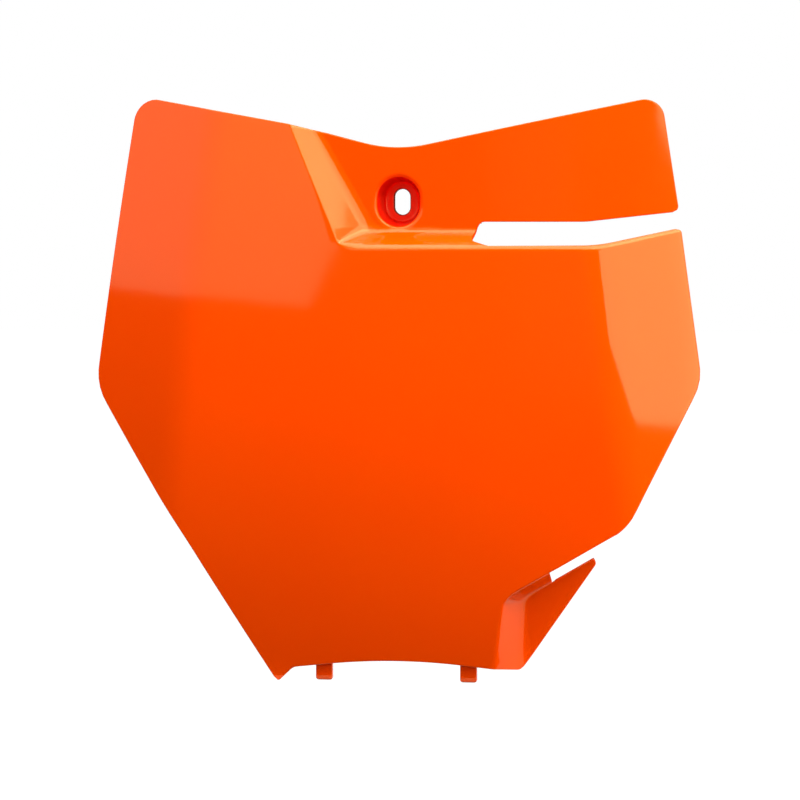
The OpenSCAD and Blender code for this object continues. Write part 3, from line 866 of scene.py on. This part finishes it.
# %% World: even light, a little stronger from above
world = bpy.data.worlds.new("studio")
world.use_nodes = True
tree = world.node_tree
tree.nodes.clear()
ray = add(tree, "ShaderNodeTexCoord").outputs["Generated"]
up = add(tree, "ShaderNodeSeparateXYZ", {0: ray}).outputs["Z"]
levels = {"From Min": -1, "From Max": 1, "To Min": 0.14, "To Max": 0.36}
level = add(tree, "ShaderNodeMapRange", {"Value": up, **levels})
even = add(tree, "ShaderNodeBackground", {"Color": (1, 1, 1, 1), "Strength": level.outputs["Result"]})
white = add(tree, "ShaderNodeBackground", {"Color": (1, 1, 1, 1), "Strength": 1.0})
mixed = add(tree, "ShaderNodeMixShader", {0: seen(tree), 1: even.outputs[0], 2: white.outputs[0]})
tree.links.new(mixed.outputs[0], add(tree, "ShaderNodeOutputWorld").inputs["Surface"])
bpy.context.scene.world = world
bpy.context.scene.view_settings.view_transform = "Standard"
print("even light from below and above:", levels["To Min"], levels["To Max"])


# %% Softboxes: the brightness of the box's face is power / (pi x area)
def direction(azimuth, elevation):
    """Unit vector away from the board. Azimuth 0 is straight in front and 90 at its right."""
    a, e = math.radians(azimuth), math.radians(elevation)
    return Vector((math.sin(a) * math.cos(e), -math.cos(a) * math.cos(e), math.sin(e)))


def softbox(name, azimuth, elevation, distance, width, height, roll, shift, brightness, mirrored=True):
    """An area lamp facing the board's middle from those angles, turned about its own axis and
    then shifted along its width and height. The camera doesn't see it."""
    middle, away = Vector((0.025, -0.02, -0.05)), direction(azimuth, elevation)
    lamp = bpy.data.lights.new(name, "AREA")
    lamp.shape, lamp.size, lamp.size_y = "RECTANGLE", width, height
    lamp.energy = brightness * math.pi * width * height
    made = bpy.data.objects.new(name, lamp)
    facing = away.to_track_quat("Z", "Y") @ Quaternion((0, 0, 1), math.radians(roll))
    made.location = middle + distance * away + facing @ Vector((*shift, 0))
    made.rotation_euler = facing.to_euler()
    made.visible_camera, made.visible_glossy = False, mirrored
    bpy.context.scene.collection.objects.link(made)
    print(name, "power, W:", round(lamp.energy, 1))


# name, azimuth, elevation, distance, width, height, roll, shift, brightness
softbox("left_softbox", -46, 28.5, 1.3, 1.79, 1.03, -3.1, (-0.032, 0), 1.3)
softbox("right_softbox", 60.3, 26.7, 1.2, 0.65, 1.76, -15.5, (-0.175, 0.25), 3.5)
softbox("top_softbox", 0, 81, 1.3, 2.4, 1.1, 0, (0, 0), 3.7)
softbox("fill_from_the_right", 78, 52, 1.2, 0.8, 0.8, 0, (0, 0), 12.5, mirrored=False)
softbox("fill_from_the_front", 8, 6, 1.6, 0.5, 0.5, 0, (0, 0), 5.0, mirrored=False)


# %% Black cloths
def cloth(name, corners, dark=False):
    """A four-cornered cloth that glossy rays meet and all other rays pass; if dark,
    diffuse rays meet it as well, so that no light comes back from it."""
    made_mesh = bpy.data.meshes.new(name)
    made_mesh.from_pydata(corners, [], [(0, 1, 2, 3)])
    made_mesh.materials.append(black)
    made = bpy.data.objects.new(name, made_mesh)
    for kind in ("camera", "transmission", "volume_scatter", "shadow"):
        setattr(made, "visible_" + kind, False)
    made.visible_diffuse = dark
    bpy.context.scene.collection.objects.link(made)


black, tree, output = new_material("black_cloth")
soot = add(tree, "ShaderNodeBsdfDiffuse", {"Color": linear("#0A0A0A")})
tree.links.new(soot.outputs[0], output.inputs["Surface"])
left_x, right_x, near_y, far_y = -2.6, 3.6, -2.4, 0.9
low, high = lowest + 0.001, 2.6


def hung(start, end):
    """Corners of a cloth that hangs down to the floor between two places on it."""
    return [(*start, low), (*end, low), (*end, high), (*start, high)]


def laid(*ground):
    """Corners of a cloth that lies just above the floor."""
    return [(*place, low) for place in ground]


cloth("cloth_behind_camera", hung((left_x, near_y), (right_x, near_y)))
cloth("cloth_at_left", hung((left_x, far_y), (left_x, near_y)))
in_front, behind = -0.019, 0.06
corner = (0.06, in_front)
under = laid((left_x, near_y), (right_x, near_y), corner, (left_x, in_front))
cloth("cloth_on_floor", under, dark=True)
cloth("cloth_behind_board", hung((left_x, far_y), (right_x, far_y)))
under = laid((left_x, behind), (right_x, behind), (right_x, far_y), (left_x, far_y))
cloth("cloth_on_floor_behind", under, dark=True)
print("cloths reach up to, m:", high)

# %% [markdown]
# ## Camera
#
# The gaps and the cup's floor show that the camera stood a little to the right
# of the board and a little above its middle: about 8 degrees round and 3
# degrees up, at 1.4 m. A long lens keeps the outline as flat as it looks.

# %% Camera at the photograph's angle
distance, field = 1.4, 0.330
target, away = Vector((0.861, -15.0, -81.608)) * MM, direction(8.5, 3.2)
lens = bpy.data.cameras.new("camera")
lens.sensor_width, lens.lens = 36, 36 * distance / field
camera = bpy.data.objects.new("camera", lens)
camera.location = target + distance * away
camera.rotation_euler = away.to_track_quat("Z", "Y").to_euler()
bpy.context.scene.collection.objects.link(camera)
bpy.context.scene.camera = camera
print("lens, mm:", round(lens.lens, 1))
